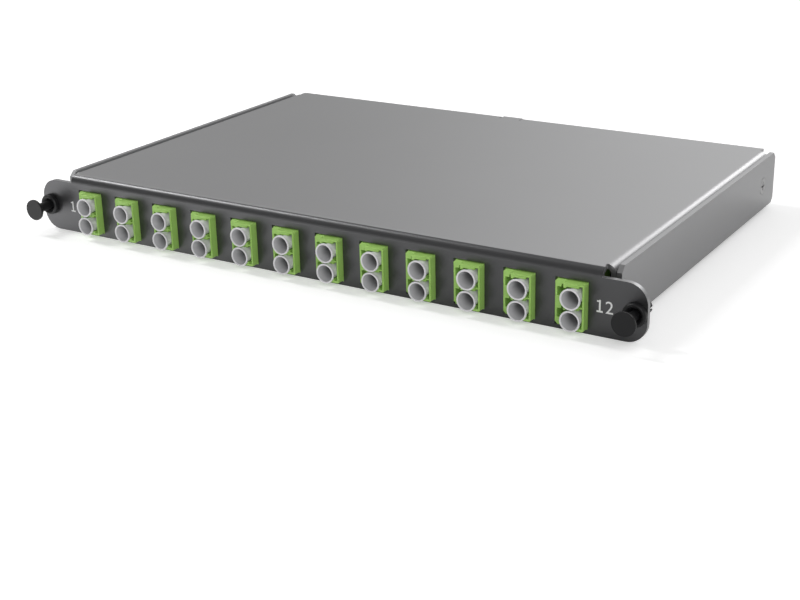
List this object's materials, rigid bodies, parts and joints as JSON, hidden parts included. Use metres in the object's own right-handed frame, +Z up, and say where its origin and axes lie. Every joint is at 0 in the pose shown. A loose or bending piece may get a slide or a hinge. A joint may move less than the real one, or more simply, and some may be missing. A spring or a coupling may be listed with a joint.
{
  "type": "fibre cassette",
  "caption": "Slim half-width rack cassette with a folded steel case, lime duplex LC adapters with dust caps, ears and push-pull plungers.",
  "frame": {"origin": "point on the front panel's back face midway between the two plunger axes", "axes": "+X across the front to the right ear, +Y from the panel to the rear, +Z up"},
  "size_m": [0.216, 0.1493, 0.0194],
  "materials": {
    "cover_steel": "satin grey powder coat, darker on the front face",
    "tray_steel": "satin grey powder coat",
    "adapter_lime": "fine moulded matte",
    "cap_clear": "soft translucent moulding",
    "plunger_black": "smooth moulded",
    "grommet_black": "smooth moulded",
    "fastener_steel": "zinc plated",
    "coupler_black": "fine moulded matte",
    "rear_cap_clear": "soft translucent moulding",
    "organiser_plastic": "fine moulded matte"
  },
  "bodies": {
    "housing": {"cover": "cover_steel", "base_tray": "tray_steel", "fibre_comb": "organiser_plastic", "adapter_01": "adapter_lime", "dust_cap_01_upper": "cap_clear", "dust_cap_01_lower": "cap_clear", "adapter_02": "adapter_lime", "dust_cap_02_upper": "cap_clear", "dust_cap_02_lower": "cap_clear", "adapter_03": "adapter_lime", "dust_cap_03_upper": "cap_clear", "dust_cap_03_lower": "cap_clear", "adapter_04": "adapter_lime", "dust_cap_04_upper": "cap_clear", "dust_cap_04_lower": "cap_clear", "adapter_05": "adapter_lime", "dust_cap_05_upper": "cap_clear", "dust_cap_05_lower": "cap_clear", "adapter_06": "adapter_lime", "dust_cap_06_upper": "cap_clear", "dust_cap_06_lower": "cap_clear", "adapter_07": "adapter_lime", "dust_cap_07_upper": "cap_clear", "dust_cap_07_lower": "cap_clear", "adapter_08": "adapter_lime", "dust_cap_08_upper": "cap_clear", "dust_cap_08_lower": "cap_clear", "adapter_09": "adapter_lime", "dust_cap_09_upper": "cap_clear", "dust_cap_09_lower": "cap_clear", "adapter_10": "adapter_lime", "dust_cap_10_upper": "cap_clear", "dust_cap_10_lower": "cap_clear", "adapter_11": "adapter_lime", "dust_cap_11_upper": "cap_clear", "dust_cap_11_lower": "cap_clear", "adapter_12": "adapter_lime", "dust_cap_12_upper": "cap_clear", "dust_cap_12_lower": "cap_clear", "side_screws": "fastener_steel", "clinch_nuts": "fastener_steel", "grommet_left": "grommet_black", "rear_coupler_left": "coupler_black", "rear_cap_left": "rear_cap_clear", "fibre_spool_left": "organiser_plastic", "grommet_right": "grommet_black", "rear_coupler_right": "coupler_black", "rear_cap_right": "rear_cap_clear", "fibre_spool_right": "organiser_plastic"},
    "plunger_left": {"plunger_left": "plunger_black"},
    "plunger_right": {"plunger_right": "plunger_black"}
  },
  "joints": [
    {"name": "push_left", "type": "slide", "parent": "housing", "child": "plunger_left", "axis": [0, 1, 0], "range_m": [0, 0.0055]},
    {"name": "push_right", "type": "slide", "parent": "housing", "child": "plunger_right", "axis": [0, 1, 0], "range_m": [0, 0.0055]}
  ]
}
